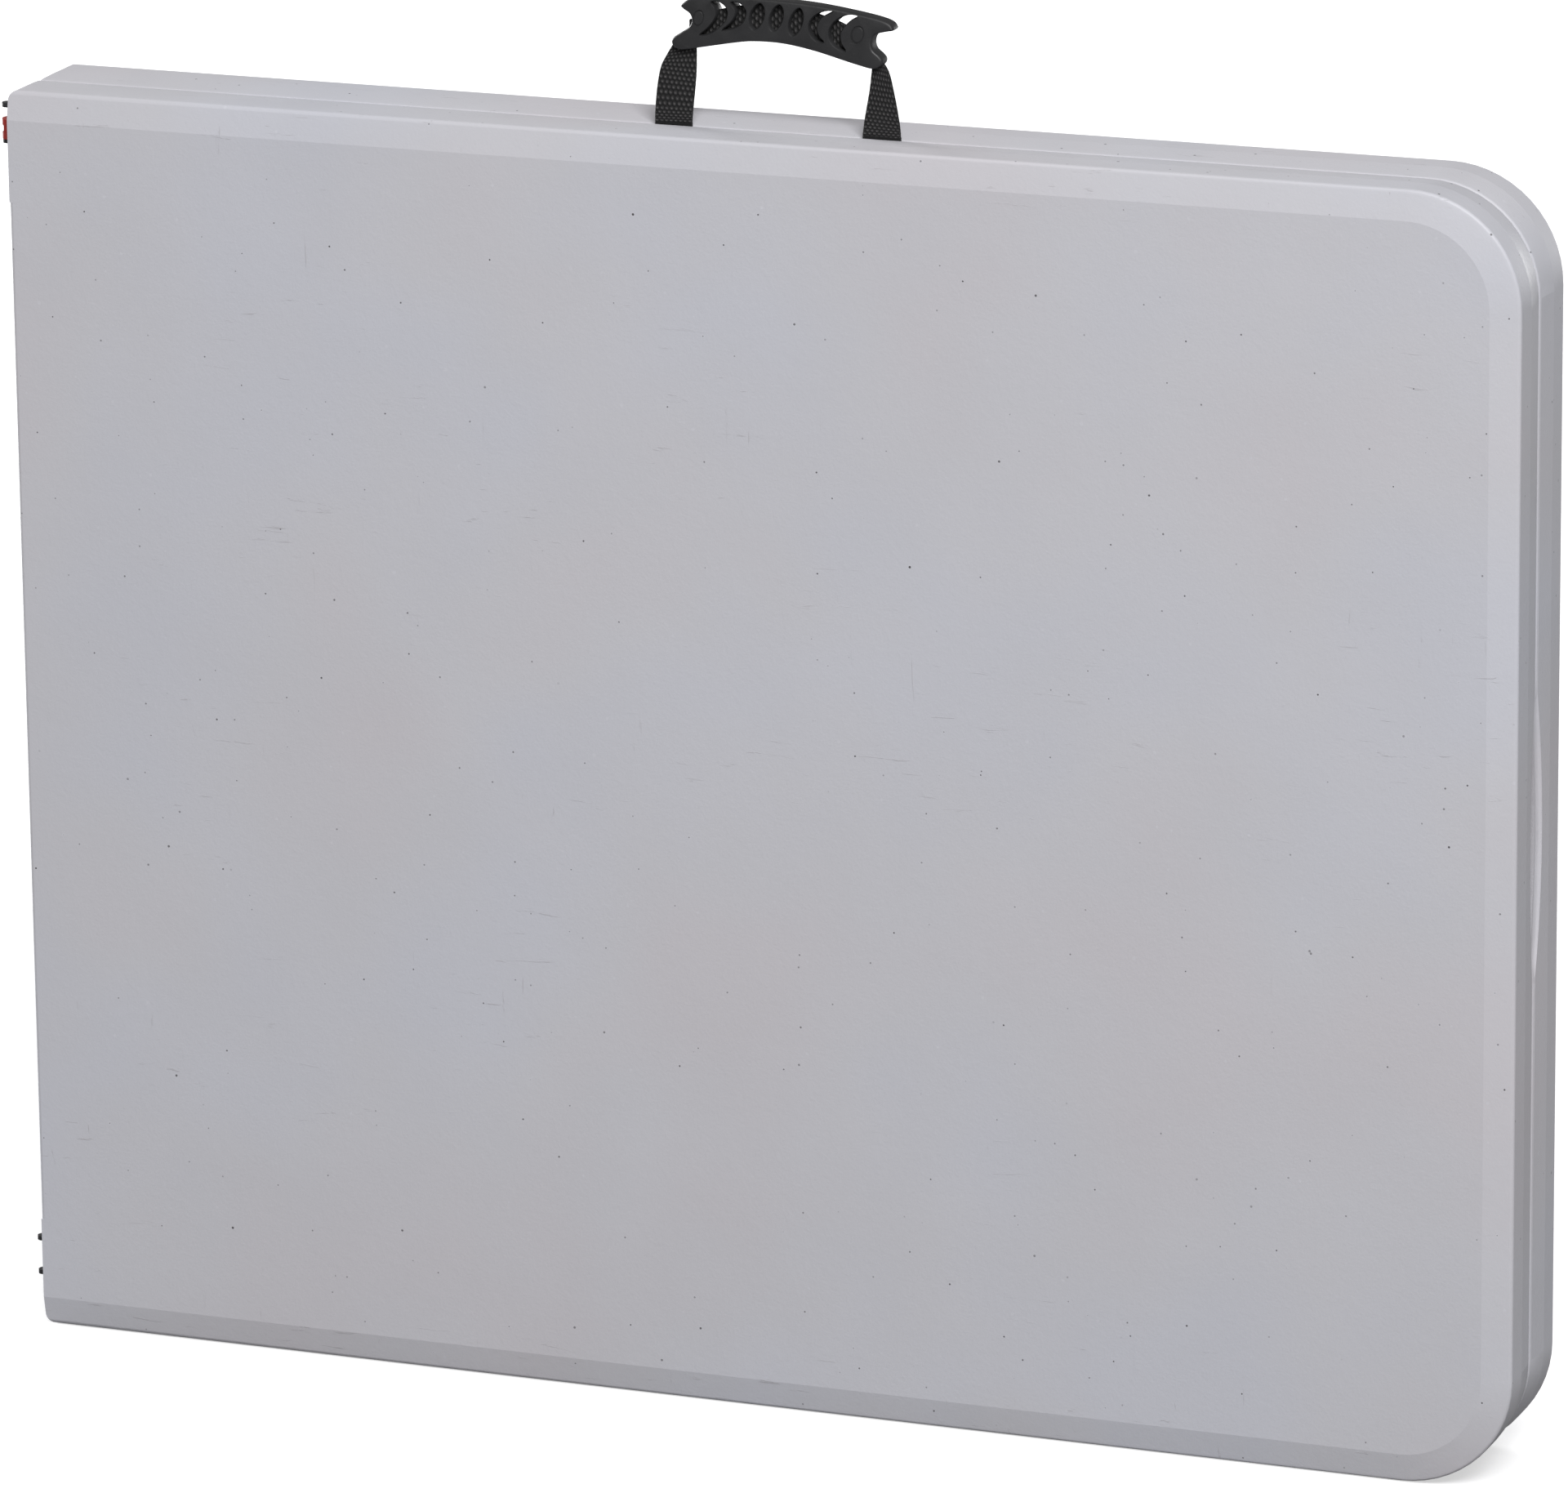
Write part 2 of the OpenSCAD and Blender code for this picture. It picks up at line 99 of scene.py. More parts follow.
def node(nt, kind, **kw):
    n = nt.nodes.new(kind)
    for k, v in kw.items():
        if k in n.inputs:
            n.inputs[k].default_value = v
        else:
            setattr(n, k, v)
    return n


def noise(nt, co, scale, detail=2.0, rough=0.5, dist=0.0):
    n = node(nt, "ShaderNodeTexNoise", Scale=scale, Detail=detail, Roughness=rough, Distortion=dist)
    nt.links.new(co, n.inputs["Vector"])
    return n.outputs["Fac"]


def scaled(nt, co, sx, sy, sz, loc=(0, 0, 0)):
    mp = nt.nodes.new("ShaderNodeMapping")
    mp.inputs["Scale"].default_value = (sx, sy, sz)
    mp.inputs["Location"].default_value = loc
    nt.links.new(co, mp.inputs["Vector"])
    return mp.outputs[0]


def ramp(nt, fac, stops):
    r = nt.nodes.new("ShaderNodeValToRGB")
    while len(r.color_ramp.elements) < len(stops):
        r.color_ramp.elements.new(0.5)
    for e, (p, col) in zip(r.color_ramp.elements, stops):
        e.position = p
        e.color = (col, col, col, 1) if isinstance(col, (int, float)) else (*col, 1)
    nt.links.new(fac, r.inputs[0])
    return r.outputs[0]


def math_node(nt, op, a, b=None):
    n = nt.nodes.new("ShaderNodeMath")
    n.operation = op
    for i, v in enumerate((a, b)):
        if v is None:
            continue
        if isinstance(v, (int, float)):
            n.inputs[i].default_value = v
        else:
            nt.links.new(v, n.inputs[i])
    return n.outputs[0]


def mix_col(nt, fac, a, b, mode="MIX"):
    n = nt.nodes.new("ShaderNodeMix")
    n.data_type = "RGBA"
    n.blend_type = mode
    for key, v in (("Factor", fac), ("A", a), ("B", b)):
        sock = [i for i in n.inputs if i.name == key and i.type == ("VALUE" if key == "Factor" else "RGBA")][0]
        if isinstance(v, (int, float)):
            sock.default_value = v
        elif isinstance(v, tuple):
            sock.default_value = (*v, 1)
        else:
            nt.links.new(v, sock)
    return [o for o in n.outputs if o.type == "RGBA"][0]


def bump(nt, bsdf, *layers):
    prev = None
    for height, dist, strength in layers:
        bn = nt.nodes.new("ShaderNodeBump")
        bn.inputs["Distance"].default_value = dist
        bn.inputs["Strength"].default_value = strength
        nt.links.new(height, bn.inputs["Height"])
        if prev is not None:
            nt.links.new(prev, bn.inputs["Normal"])
        prev = bn.outputs[0]
    nt.links.new(prev, bsdf.inputs["Normal"])


def hdpe():
    mt, nt, b, co = new_mat("hdpe_panel")
    # slow drift between a warmer and a cooler grey, as moulded sheet shows
    drift = noise(nt, co, 5.5, 2.0, 0.45)
    base = ramp(nt, drift, [(0.34, (0.492, 0.478, 0.506)), (0.50, (0.490, 0.487, 0.518)), (0.66, (0.485, 0.489, 0.532))])
    cloud = ramp(nt, noise(nt, co, 13.0, 2.0, 0.5), [(0.3, 0.978), (0.7, 1.0)])
    base = mix_col(nt, 1.0, base, cloud, "MULTIPLY")
    # dark pigment specks of uneven size and strength, some with a pale ring
    v = node(nt, "ShaderNodeTexVoronoi", Scale=92.0)
    nt.links.new(co, v.inputs["Vector"])
    sep = nt.nodes.new("ShaderNodeSeparateColor")
    nt.links.new(v.outputs["Color"], sep.inputs[0])
    size = math_node(nt, "ADD", math_node(nt, "MULTIPLY", sep.outputs[1], 0.034), 0.046)
    near = math_node(nt, "LESS_THAN", v.outputs["Distance"], size)
    some = ramp(nt, sep.outputs[0], [(0.38, 0.0), (0.46, 0.45), (1.0, 1.0)])
    speck = math_node(nt, "MULTIPLY", near, some)
    ring = math_node(nt, "MULTIPLY", math_node(nt, "LESS_THAN", v.outputs["Distance"], math_node(nt, "ADD", size, 0.03)), ramp(nt, sep.outputs[2], [(0.72, 0.0), (0.74, 0.35)]))
    base = mix_col(nt, ring, base, (0.56, 0.56, 0.60))
    base = mix_col(nt, speck, base, (0.085, 0.080, 0.085))
    # rubbed scuffs: thin marks along the long way and upright, thicker near the long edges
    sx = nt.nodes.new("ShaderNodeSeparateXYZ")
    nt.links.new(co, sx.inputs[0])
    off = math_node(nt, "ABSOLUTE", math_node(nt, "SUBTRACT", sx.outputs[2], H / 2))
    rim = ramp(nt, off, [(0.336, 0.0), (0.352, 1.0)])
    sc1 = ramp(nt, noise(nt, scaled(nt, co, 10, 90, 90), 3.0, 6.0, 0.62, 0.6), [(0.655, 0.0), (0.70, 1.0)])
    sc2 = ramp(nt, noise(nt, scaled(nt, co, 90, 90, 9, (3, 1, 2)), 3.0, 6.0, 0.62, 0.5), [(0.68, 0.0), (0.73, 1.0)])
    mask = ramp(nt, noise(nt, co, 6.0, 2.0), [(0.52, 0.0), (0.66, 1.0)])
    mask = math_node(nt, "MAXIMUM", mask, math_node(nt, "MULTIPLY", rim, 0.8))
    sc = math_node(nt, "MULTIPLY", math_node(nt, "MAXIMUM", sc1, sc2), mask)
    base = mix_col(nt, math_node(nt, "MULTIPLY", sc, 0.42), base, (0.30, 0.285, 0.295))
    nt.links.new(base, b.inputs["Base Color"])
    rr = ramp(nt, noise(nt, co, 24.0, 3.0), [(0.3, 0.46), (0.7, 0.56)])
    rr = mix_col(nt, sc, rr, (0.70, 0.70, 0.70))
    nt.links.new(rr, b.inputs["Roughness"])
    b.inputs["Specular IOR Level"].default_value = 0.35
    peb = noise(nt, co, 620.0, 2.0, 0.5)
    sink = noise(nt, co, 9.0, 1.5, 0.4)
    orange = noise(nt, co, 170.0, 2.0, 0.5)
    bump(nt, b, (sink, 0.003, 0.08), (orange, 0.0006, 0.14), (peb, 0.00025, 0.30), (sc, 0.0002, 0.5))
    return mt


def powder(name, col, rough=0.45, metal=0.0, chip=(0.32, 0.31, 0.30), chips=0.72):
    mt, nt, b, co = new_mat(name)
    drift = ramp(nt, noise(nt, co, 30.0, 3.0), [(0.3, tuple(x * 0.85 for x in col)), (0.7, tuple(min(1, x * 1.18) for x in col))])
    ch = ramp(nt, noise(nt, co, 210.0, 5.0, 0.7), [(chips, 0.0), (chips + 0.02, 1.0)])
    geo = nt.nodes.new("ShaderNodeNewGeometry")
    edge = ramp(nt, geo.outputs["Pointiness"], [(0.54, 0.0), (0.60, 1.0)])
    wear = math_node(nt, "MULTIPLY", edge, ramp(nt, noise(nt, co, 120.0, 4.0, 0.7), [(0.45, 0.0), (0.55, 1.0)]))
    w = math_node(nt, "MAXIMUM", ch, wear)
    nt.links.new(mix_col(nt, w, drift, chip), b.inputs["Base Color"])
    nt.links.new(ramp(nt, noise(nt, co, 90.0, 3.0), [(0.3, rough - 0.07), (0.7, rough + 0.09)]), b.inputs["Roughness"])
    b.inputs["Metallic"].default_value = metal
    bump(nt, b, (noise(nt, co, 480.0, 2.0, 0.5), 0.0002, 0.35), (noise(nt, co, 1500.0, 1.0), 0.0001, 0.2))
    return mt


def zinc():
    mt, nt, b, co = new_mat("zinc_steel")
    st = noise(nt, scaled(nt, co, 20, 420, 420), 4.0, 4.0, 0.6)
    nt.links.new(ramp(nt, st, [(0.3, (0.42, 0.43, 0.45)), (0.7, (0.62, 0.63, 0.65))]), b.inputs["Base Color"])
    b.inputs["Metallic"].default_value = 1.0
    nt.links.new(ramp(nt, noise(nt, co, 60.0, 4.0), [(0.3, 0.26), (0.7, 0.44)]), b.inputs["Roughness"])
    bump(nt, b, (st, 0.0001, 0.25))
    return mt


def moulded(name, col, rough, pebble=700.0, depth=0.0002, mark=(0.1, 0.1, 0.1)):
    mt, nt, b, co = new_mat(name)
    base = ramp(nt, noise(nt, co, 60.0, 4.0, 0.6), [(0.3, tuple(x * 0.82 for x in col)), (0.72, tuple(min(1, x * 1.2) for x in col))])
    rub = ramp(nt, noise(nt, scaled(nt, co, 60, 200, 200), 3.0, 5.0, 0.65), [(0.62, 0.0), (0.72, 0.35)])
    nt.links.new(mix_col(nt, rub, base, mark), b.inputs["Base Color"])
    nt.links.new(ramp(nt, noise(nt, co, 130.0, 3.0), [(0.3, rough - 0.08), (0.7, rough + 0.1)]), b.inputs["Roughness"])
    bump(nt, b, (noise(nt, co, pebble, 2.0), depth, 0.4), (noise(nt, co, 90.0, 2.0), 0.0005, 0.08))
    return mt


def webbing_mat():
    mt, nt, b, co = new_mat("webbing")
    at = nt.nodes.new("ShaderNodeAttribute")
    at.attribute_name = "knot"
    # painted highlight and painted shade: knot height paints the knot crowns bright and the gaps between knots and the
    # rolled edges near-black, on top of the real knot relief; pieces without the knot attribute get the darkest colour
    # all over
    knot_highlight_shade = ramp(nt, at.outputs["Fac"], [(0.0, (0.0030, 0.0030, 0.0032)), (0.50, (0.0060, 0.0058, 0.0060)), (0.86, (0.036, 0.035, 0.036)), (1.0, (0.095, 0.092, 0.092))])
    fil = noise(nt, scaled(nt, co, 1, 1, 6), 900.0, 3.0, 0.6)
    fuzz = ramp(nt, noise(nt, co, 1500.0, 3.0, 0.7), [(0.35, (0.55, 0.55, 0.55)), (0.7, (1.5, 1.48, 1.45))])
    nt.links.new(mix_col(nt, 1.0, knot_highlight_shade, fuzz, "MULTIPLY"), b.inputs["Base Color"])
    nt.links.new(ramp(nt, noise(nt, co, 500.0, 3.0), [(0.3, 0.50), (0.7, 0.75)]), b.inputs["Roughness"])
    b.inputs["Specular IOR Level"].default_value = 0.30
    b.inputs["Sheen Weight"].default_value = 0.06
    b.inputs["Sheen Roughness"].default_value = 0.4
    bump(nt, b, (fil, 0.0003, 0.5), (noise(nt, co, 3000.0, 2.0), 0.00012, 0.4))
    return mt


MATS = {
    "hdpe_panel": hdpe(),
    "black_steel": powder("black_steel", (0.022, 0.022, 0.024), 0.42),
    "grey_steel": powder("grey_steel", (0.20, 0.207, 0.22), 0.38, chip=(0.12, 0.1, 0.09), chips=0.76),
    "zinc_steel": zinc(),
    "black_plastic": moulded("black_plastic", (0.018, 0.018, 0.020), 0.5),
    "foot_rubber": moulded("foot_rubber", (0.016, 0.016, 0.016), 0.75, 420.0, 0.0003, (0.07, 0.065, 0.06)),
    "red_plastic": moulded("red_plastic", (0.33, 0.028, 0.022), 0.42, 900.0, 0.00012, (0.45, 0.12, 0.10)),
    "webbing": webbing_mat(),
    "grip_plastic": moulded("grip_plastic", (0.016, 0.016, 0.017), 0.52, 620.0, 0.00022, (0.050, 0.050, 0.050)),
}
SLOT = {p["node"]: p["material_slot"] for p in frame["record"]["subparts"]}


def dress(o, slot_name):
    o.data.materials.clear()
    o.data.materials.append(MATS[slot_name])
    o.data.polygons.foreach_set("material_index", [0] * len(o.data.polygons))


def smooth(me, angle=32):
    me.polygons.foreach_set("use_smooth", [True] * len(me.polygons))
    me.set_sharp_from_angle(angle=math.radians(angle))


def link(name, me, slot_name):
    o = bpy.data.objects.new(name, me)
    scene.collection.objects.link(o)
    me.materials.clear()
    me.materials.append(MATS[slot_name])
    return o


def from_bm(name, bm, slot_name, angle=32):
    bmesh.ops.recalc_face_normals(bm, faces=bm.faces)
    me = bpy.data.meshes.new(name)
    bm.to_mesh(me)
    bm.free()
    smooth(me, angle)
    return link(name, me, slot_name)


def refined(node_name, name, width, segs, slot_name, angle=30, limit=None):
    """A piece with the CAD node's own solid, welded, cleaned to large faces, and its sharp edges rounded."""
    bm = bmesh.new()
    bm.from_mesh(N[node_name].data)
    bmesh.ops.remove_doubles(bm, verts=bm.verts, dist=2e-6)
    bmesh.ops.dissolve_limit(bm, angle_limit=math.radians(0.6), verts=bm.verts, edges=bm.edges, use_dissolve_boundaries=False)
    if width:
        es = []
        for e in bm.edges:
            if len(e.link_faces) == 2 and e.calc_face_angle(0) > math.radians(angle):
                if limit is None or limit(e):
                    es.append(e)
        bmesh.ops.bevel(bm, geom=es, offset=width, offset_type="OFFSET", segments=segs, profile=0.6, affect="EDGES", clamp_overlap=True)
    bmesh.ops.triangulate(bm, faces=[f for f in bm.faces if len(f.verts) > 4])
    return from_bm(name, bm, slot_name, 34)


# ------------------------------------------------------------------ CAD nodes that keep their own shape
BEVEL = {"zinc_steel": 0.25, "black_steel": 0.35, "grey_steel": 0.5, "black_plastic": 0.4, "foot_rubber": 0.8, "red_plastic": 0.7, "webbing": 0.2}
REPLACED = {"panel_front", "panel_rear", "handle_webbing", "handle_grip"}
for n, o in N.items():
    if n in REPLACED:
        continue
    dress(o, SLOT[n])
    w = o.modifiers.new("weld", "WELD")
    w.merge_threshold = 2e-6
    bv = o.modifiers.new("bevel", "BEVEL")
    bv.width = BEVEL[SLOT[n]] * MM
    bv.segments = 2
    bv.limit_method = "ANGLE"
    bv.angle_limit = math.radians(40)
    bv.harden_normals = False
    smooth(o.data, 35)
    wn = o.modifiers.new("normals", "WEIGHTED_NORMAL")
    wn.keep_sharp = False

# ------------------------------------------------------------------ panels
for half in ("front", "rear"):
    p = refined(f"panel_{half}", f"moulded_top_{half}", 0.0, 2, "hdpe_panel")
    me = p.data
    me.set_sharp_from_angle(angle=math.radians(13))
    co = [v.co for v in me.vertices]
    # keep the crease inside the sloping border and the line where the rim begins to taper
    for e in me.edges:
        y0, y1 = abs(co[e.vertices[0]].y), abs(co[e.vertices[1]].y)
        if (y0 > 0.04295 and y1 > 0.04295) or (abs(y0 - 0.021) < 1e-5 and abs(y1 - 0.021) < 1e-5):
            e.use_edge_sharp = True
    wn = p.modifiers.new("normals", "WEIGHTED_NORMAL")
    wn.keep_sharp = True
    wn.weight = 60
    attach(p, f"half_{half}")
    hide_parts(f"panel_{half}")

# ------------------------------------------------------------------ handle
HX = XF + 0.455
GY = -0.0013


def spline(pts, k=6, closed=True):
    """Catmull-Rom points through pts."""
    out = []
    n = len(pts)
    for i in range(n if closed else n - 1):
        p = [Vector((*pts[j % n], 0)) if closed else Vector((*pts[min(max(j, 0), n - 1)], 0)) for j in (i - 1, i, i + 1, i + 2)]
        for q in range(k):
            t = q / k
            v = 0.5 * ((2 * p[1]) + (p[2] - p[0]) * t + (2 * p[0] - 5 * p[1] + 4 * p[2] - p[3]) * t * t + (3 * p[1] - p[0] - 3 * p[2] + p[3]) * t ** 3)
            out.append((v.x, v.y))
    if not closed:
        out.append(tuple(pts[-1]))
    return out


def inset(pts, d):
    out = []
    n = len(pts)
    area = sum(pts[i][0] * pts[(i + 1) % n][1] - pts[(i + 1) % n][0] * pts[i][1] for i in range(n))
    sg = 1 if area > 0 else -1
    # a narrow horn is drawn in by less, so that its outline never crosses itself
    dist = []
    for i in range(n):
        e0, e1 = Vector(pts[i]) - Vector(pts[i - 1]), Vector(pts[(i + 1) % n]) - Vector(pts[i])
        if e0.length < 1e-9 or e1.length < 1e-9:
            dist.append(d)
            continue
        turn = e0.angle_signed(e1) * -sg
        rad = (e0.length + e1.length) / 2 / turn if turn > 1e-4 else 1e9
        dist.append(min(d, rad * 0.45) if d > 0 else d)
    for _ in range(3):
        dist = [min(dist[i], (dist[i - 1] + dist[i] + dist[(i + 1) % n]) / 3) for i in range(n)]
    for i in range(n):
        a, b = Vector(pts[i - 1]), Vector(pts[(i + 1) % n])
        t = (b - a)
        if t.length < 1e-9:
            out.append(pts[i])
            continue
        t.normalize()
        nrm = Vector((-t.y, t.x)) * sg
        out.append((pts[i][0] + nrm.x * dist[i], pts[i][1] + nrm.y * dist[i]))
    return out


def prism(name, pts, layers, slot_name="grip_plastic"):
    """A closed solid in mm from an outline in the handle's plane; layers is a list of (depth, inset)."""
    bm = bmesh.new()
    rings = []
    for y, d in layers:
        q = inset(pts, d) if d else pts
        rings.append([bm.verts.new((x, y, z)) for x, z in q])
    n = len(pts)
    for a, b in zip(rings, rings[1:]):
        for i in range(n):
            bm.faces.new((a[i], a[(i + 1) % n], b[(i + 1) % n], b[i]))
    for ring in (rings[0], rings[-1]):
        flat = [Vector((v.co.x, v.co.z)) for v in ring]
        got = delaunay_2d_cdt(flat, [(i, (i + 1) % n) for i in range(n)], [], 1, 1e-6)
        back_to = [o[0] if o else -1 for o in got[3]]
        for tri in got[2]:
            ids = [back_to[i] for i in tri]
            if -1 not in ids and len(set(ids)) == len(ids):
                bm.faces.new([ring[i] for i in ids])
    return from_bm(name, bm, slot_name, 40)


def cut(o, tool, op="DIFFERENCE"):
    md = o.modifiers.new("b", "BOOLEAN")
    md.operation = op
    md.solver = "MANIFOLD"
    md.object = tool
    bpy.context.view_layer.update()
    dg = bpy.context.evaluated_depsgraph_get()
    me = bpy.data.meshes.new_from_object(o.evaluated_get(dg))
    o.modifiers.clear()
    old = o.data
    o.data = me
    bpy.data.meshes.remove(old)
    bpy.data.objects.remove(tool)


top = [(-55.6, 67.1), (-53.7, 69.4), (-49.6, 71.5), (-41.0, 72.9), (-30.2, 73.8), (-17.2, 74.1), (-6.5, 74.1), (9.7, 73.6), (25.9, 72.5), (42.1, 70.5), (56.1, 68.3), (64.8, 66.4), (68.9, 64.6), (70.6, 62.2), (70.2, 60.8)]
rgt = [(66.9, 60.1), (61.5, 58.7), (58.8, 56.7), (57.8, 53.1), (58.9, 49.3), (62.3, 46.4), (64.2, 43.7), (63.0, 40.6)]
bot = [(58.3, 38.5), (47.5, 40.6), (36.7, 43.3), (25.9, 46.0), (15.1, 48.1), (6.5, 49.3), (-2.1, 49.8), (-12.9, 49.6), (-21.6, 48.5), (-33.4, 46.3), (-44.2, 44.2), (-49.6, 43.1), (-56.1, 42.2)]
lft = [(-60.0, 43.6), (-61.5, 46.6), (-60.2, 49.1), (-56.1, 51.9), (-50.9, 55.5), (-49.2, 59.4), (-50.4, 63.0), (-53.6, 65.1)]
outline = spline(top + rgt + bot + lft, 5)
grip = prism("grip", outline, [(-5.2, 1.3), (-5.0, 0.75), (-4.5, 0.35), (-3.7, 0.08), (-2.8, 0.0), (2.8, 0.0), (3.7, 0.08), (4.5, 0.35), (5.0, 0.75), (5.2, 1.3)])
# raised border along the lower edge, on both faces
ridge = [(-60.4, 47.2), (-49.6, 47.0), (-38.8, 49.3), (-28.0, 51.3), (-17.2, 52.5), (-6.5, 52.6), (6.5, 51.7), (15.1, 50.3), (25.9, 48.1), (36.7, 45.6), (47.5, 43.2), (57.2, 41.3), (63.2, 42.2)]
low = [(62.6, 40.3), (58.0, 38.3), (47.5, 40.4), (36.7, 43.1), (25.9, 45.8), (15.1, 47.9), (6.5, 49.1), (-2.1, 49.6), (-12.9, 49.4), (-21.6, 48.3), (-33.4, 46.1), (-44.2, 44.0), (-49.6, 42.9), (-56.3, 42.0), (-60.3, 43.6), (-61.6, 46.0)]
border = spline(ridge + low, 4)
lip = prism("lip", border, [(-6.6, 1.2), (-6.4, 0.6), (-5.9, 0.15), (-5.2, 0.0), (5.2, 0.0), (5.9, 0.15), (6.4, 0.6), (6.6, 1.2)])
cut(grip, lip, "UNION")


def ellipse(cx, cz, rx, rz, lean, n=28):
    out = []
    for i in range(n):
        t = 2 * math.pi * i / n
        # pointed ends: a lens, not an oval
        x, z = rx * math.cos(t) * abs(math.cos(t)) ** 0.25, rz * math.sin(t)
        out.append((cx + x + z * lean, cz + z))
    return out


CRES = [
    [(-37.2, 70.3), (-33.4, 71.0), (-29.1, 68.5), (-27.7, 64.8), (-29.1, 60.4), (-33.4, 56.1), (-38.8, 52.7), (-44.2, 51.4), (-39.4, 55.5), (-35.6, 60.1), (-34.0, 63.9), (-35.1, 67.7)],
    [(-25.3, 70.9), (-20.5, 70.8), (-16.9, 67.6), (-16.9, 63.8), (-18.9, 59.9), (-23.7, 56.9), (-30.7, 54.9), (-25.9, 59.0), (-23.2, 62.9), (-22.6, 66.7)],
    [(35.4, 69.7), (30.2, 69.4), (24.3, 66.3), (21.1, 61.4), (21.8, 56.1), (25.4, 52.6), (29.7, 52.0), (26.8, 55.2), (25.4, 60.0), (27.5, 65.0), (31.3, 67.9)],
    [(49.7, 68.0), (44.3, 68.3), (37.8, 65.2), (33.5, 59.9), (33.3, 53.9), (36.7, 49.8), (42.6, 47.7), (40.0, 52.1), (39.4, 57.5), (42.1, 62.0), (46.4, 66.0)],
]
holes = [spline(q, 3) for q in CRES]
holes += [ellipse(-9.9, 64.0, 4.1, 7.5, 0.26), ellipse(1.6, 63.9, 3.8, 7.5, 0.26), ellipse(13.3, 62.4, 3.8, 7.9, 0.27)]
for q in holes:
    tool = prism("t", q, [(-9, -0.9), (-5.3, -0.7), (-4.3, 0.0), (4.3, 0.0), (5.3, -0.7), (9, -0.9)])
    cut(grip, tool)
# engraved oval outlines near both ends: a shallow pocket with an island left in it
for cx, cz, rx, rz in ((-44.8, 61.0, 3.4, 4.8), (49.9, 57.5, 4.0, 5.3)):
    for side in (-1, 1):
        def oval(k):
            return [(cx + k * (rx * math.cos(t) + 0.15 * rz * math.sin(t)), cz + k * rz * math.sin(t)) for t in [2 * math.pi * i / 36 for i in range(36)]]
        cut(grip, prism("t", oval(1.0), [(side * 4.65, 0.0), (side * 8.0, 0.0)]))
        cut(grip, prism("t", oval(0.80), [(side * 3.5, 0.0), (side * 5.05, 0.0), (side * 5.18, 0.15)]), "UNION")
bm = bmesh.new()
bm.from_mesh(grip.data)
bmesh.ops.remove_doubles(bm, verts=bm.verts, dist=0.004)
bmesh.ops.triangulate(bm, faces=[f for f in bm.faces if len(f.verts) > 4])
bmesh.ops.dissolve_degenerate(bm, edges=bm.edges, dist=0.002)
bm.to_mesh(grip.data)
bm.free()
grip.data.transform(Matrix.Translation((HX, GY, H)) @ Matrix.Scale(MM, 4))
smooth(grip.data, 38)
grip.data.materials.clear()
grip.data.materials.append(MATS["grip_plastic"])
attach(grip, "handle")
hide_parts("handle_grip")


def ribbon(name, left, rightp, nu, nv, thick, pitch=(2.7, 2.2), relief=0.42, bow=None):
    """Woven ribbon between two edge curves: raised knots in offset rows on both faces, rolled edges."""
    L = spline(left, 10, False)
    R = spline(rightp, 10, False)

    def at(P, t):
        f = t * (len(P) - 1)
        i = min(int(f), len(P) - 2)
        a = f - i
        return P[i][0] * (1 - a) + P[i + 1][0] * a, P[i][1] * (1 - a) + P[i + 1][1] * a

    length = sum((Vector(L[i + 1]) - Vector(L[i])).length for i in range(len(L) - 1))
    width = (Vector(R[0]) - Vector(L[0])).length
    cols, rows = max(1, round(width / pitch[0])), max(1, round(length / pitch[1]))
    bm = bmesh.new()
    knot = bm.verts.layers.float.new("knot")
    faces = []
    for side in (-1, 1):
        grid = []
        for j in range(nv + 1):
            v = j / nv
            row = []
            for i in range(nu + 1):
                u = i / nu
                lx, lz = at(L, v)
                rx, rz = at(R, v)
                x, z = lx * (1 - u) + rx * u, lz * (1 - u) + rz * u
                b = v * rows
                a = u * cols + 0.5 * (int(b) % 2)
                fb = (b % 1) - 0.5
                fa = ((a + 0.30 * fb) % 1) - 0.5
                k = relief * math.sqrt(max(0.0, 1 - (fa / 0.5) ** 2 * 0.85 - (fb / 0.5) ** 2 * 0.85))
                edge = min(u, 1 - u) * nu
                roll = 1.0 if edge >= 1.5 else (0.35 if edge < 0.5 else 0.8)
                y = side * ((thick / 2 - relief) * roll + k * roll)
                off = bow(u, v) if bow else 0.0
                vert = bm.verts.new((HX + x * MM, GY + (y + off) * MM, H + z * MM))
                # knot height, lowered at the rolled edges; the webbing material turns it into a painted highlight on
                # the crowns and painted shade in the gaps
                vert[knot] = (k / relief) ** 2 * roll
                row.append(vert)
            grid.append(row)
        faces.append(grid)
    for g in faces:
        for j in range(nv):
            for i in range(nu):
                bm.faces.new((g[j][i], g[j][i + 1], g[j + 1][i + 1], g[j + 1][i]))
    A, B = faces
    for j in range(nv):
        for i in (0, nu):
            bm.faces.new((A[j][i], A[j + 1][i], B[j + 1][i], B[j][i]))
    for i in range(nu):
        for j in (0, nv):
            bm.faces.new((A[j][i], A[j][i + 1], B[j][i + 1], B[j][i]))
    return from_bm(name, bm, "webbing", 75)


def sway(k):
    return lambda u, v: k * (v ** 1.6) * (u - 0.5) * 3.4 * (1 - 0.4 * v)


s_l = ribbon("strap_left", [(-73.6, -5.5), (-73.6, 0.0), (-73.3, 7.1), (-71.8, 20.2), (-69.4, 31.2), (-65.6, 38.5), (-60.5, 46.5)],
             [(-51.2, -5.5), (-51.2, 0.5), (-50.7, 7.3), (-49.4, 19.2), (-48.5, 30.1), (-48.3, 43.1), (-48.4, 50.0)], 72, 150, 1.7, bow=sway(1))
s_r = ribbon("strap_right", [(50.5, -5.5), (50.5, 0.1), (51.3, 7.2), (52.9, 16.0), (54.8, 26.9), (56.1, 38.4), (56.6, 44.0)],
             [(73.2, -5.5), (73.2, 0.3), (72.9, 6.0), (71.6, 14.8), (69.6, 25.5), (66.9, 36.5), (62.2, 44.5)], 72, 150, 1.7, bow=sway(-1))
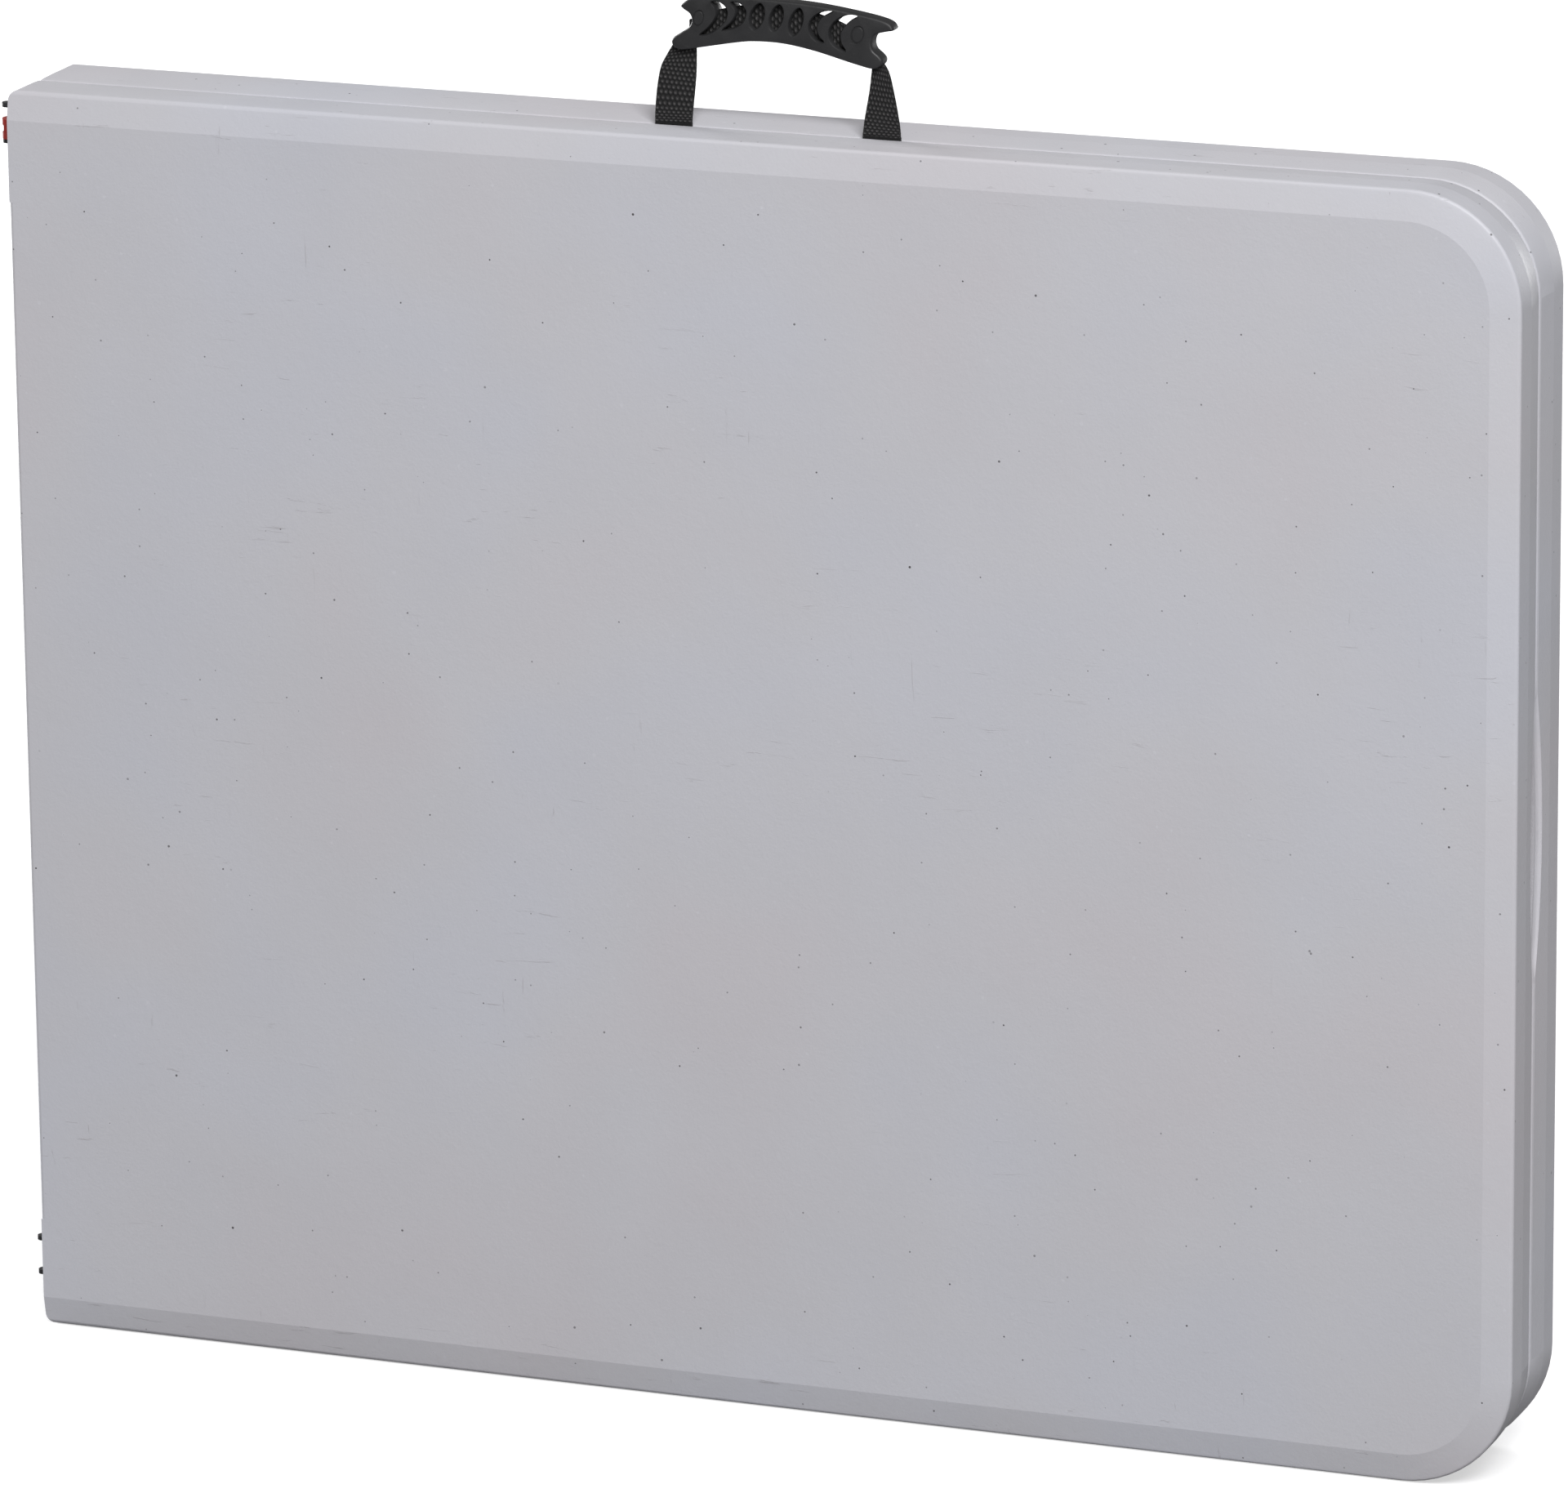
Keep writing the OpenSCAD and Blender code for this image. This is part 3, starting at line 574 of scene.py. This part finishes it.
core = ribbon("strap_core", [(-52.0, 48.0), (-40.0, 50.2), (-25.0, 53.0), (-8.0, 54.3), (8.0, 53.2), (25.0, 49.8), (40.0, 46.5), (54.0, 43.5)],
              [(-52.0, 59.0), (-40.0, 64.0), (-25.0, 68.0), (-8.0, 70.8), (8.0, 70.2), (25.0, 67.0), (40.0, 62.5), (54.0, 54.5)], 56, 260, 2.4)
for o, x in ((s_l, -62.0), (s_r, 62.0)):
    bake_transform(o)
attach(core, "handle")
for o in (s_l, s_r, core):
    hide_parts("handle_webbing")

# ------------------------------------------------------------------ floor and light
bm = bmesh.new()
bmesh.ops.create_grid(bm, x_segments=2, y_segments=2, size=14)
floor = from_bm("floor", bm, "hdpe_panel")
fm, fnt, fb, fco = new_mat("floor")
fnt.links.new(ramp(fnt, noise(fnt, fco, 2.0, 2.0), [(0.3, (0.50, 0.50, 0.505)), (0.7, (0.52, 0.52, 0.525))]), fb.inputs["Base Color"])
fb.inputs["Roughness"].default_value = 0.9
fb.inputs["Emission Color"].default_value = (1, 1, 1, 1)
fb.inputs["Emission Strength"].default_value = 0.56
# the floor looks white but throws little light back up, as a lit sweep under a black flag would
dull = node(fnt, "ShaderNodeBsdfDiffuse")
dull.inputs["Color"].default_value = (0.26, 0.26, 0.265, 1)
flp = fnt.nodes.new("ShaderNodeLightPath")
fmx = fnt.nodes.new("ShaderNodeMixShader")
fnt.links.new(flp.outputs["Is Camera Ray"], fmx.inputs[0])
fnt.links.new(dull.outputs[0], fmx.inputs[1])
fnt.links.new(fb.outputs[0], fmx.inputs[2])
fnt.links.new(fmx.outputs[0], [n for n in fnt.nodes if n.bl_idname == "ShaderNodeOutputMaterial"][0].inputs[0])
floor.data.materials.clear()
floor.data.materials.append(fm)
floor.location.z = -0.0004

world = bpy.data.worlds.new("world")
scene.world = world
world.use_nodes = True
world.node_tree.nodes["Background"].inputs[0].default_value = (1, 1, 1, 1)
world.node_tree.nodes["Background"].inputs[1].default_value = 0.20
wt = world.node_tree
lp = wt.nodes.new("ShaderNodeLightPath")
seen = wt.nodes.new("ShaderNodeBackground")
seen.inputs[1].default_value = 1.0
mx = wt.nodes.new("ShaderNodeMixShader")
wt.links.new(lp.outputs["Is Camera Ray"], mx.inputs[0])
wt.links.new(wt.nodes["Background"].outputs[0], mx.inputs[1])
wt.links.new(seen.outputs[0], mx.inputs[2])
wt.links.new(mx.outputs[0], wt.nodes["World Output"].inputs[0])


def area(name, az, el, dist, size, power, target=(0.0, 0.0, 0.37)):
    a, e = math.radians(az), math.radians(el)
    t = Vector(target)
    loc = t + Vector((math.sin(a) * math.cos(e), -math.cos(a) * math.cos(e), math.sin(e))) * dist
    ld = bpy.data.lights.new(name, "AREA")
    ld.shape = "RECTANGLE"
    ld.size, ld.size_y = size
    ld.energy = power
    o = bpy.data.objects.new(name, ld)
    scene.collection.objects.link(o)
    o.visible_camera = False
    o.location = loc
    o.rotation_euler = (t - loc).to_track_quat("-Z", "Y").to_euler()


area("key", 31, 43, 7.0, (3.4, 2.8), 585)
area("back", 246, 11, 6.0, (2.6, 2.2), 430)
# a low wide light behind, all of it under the level of the top edge
area("behind", 180, 0, 5.0, (3.2, 0.66), 80)
scene.view_settings.view_transform = "Standard"
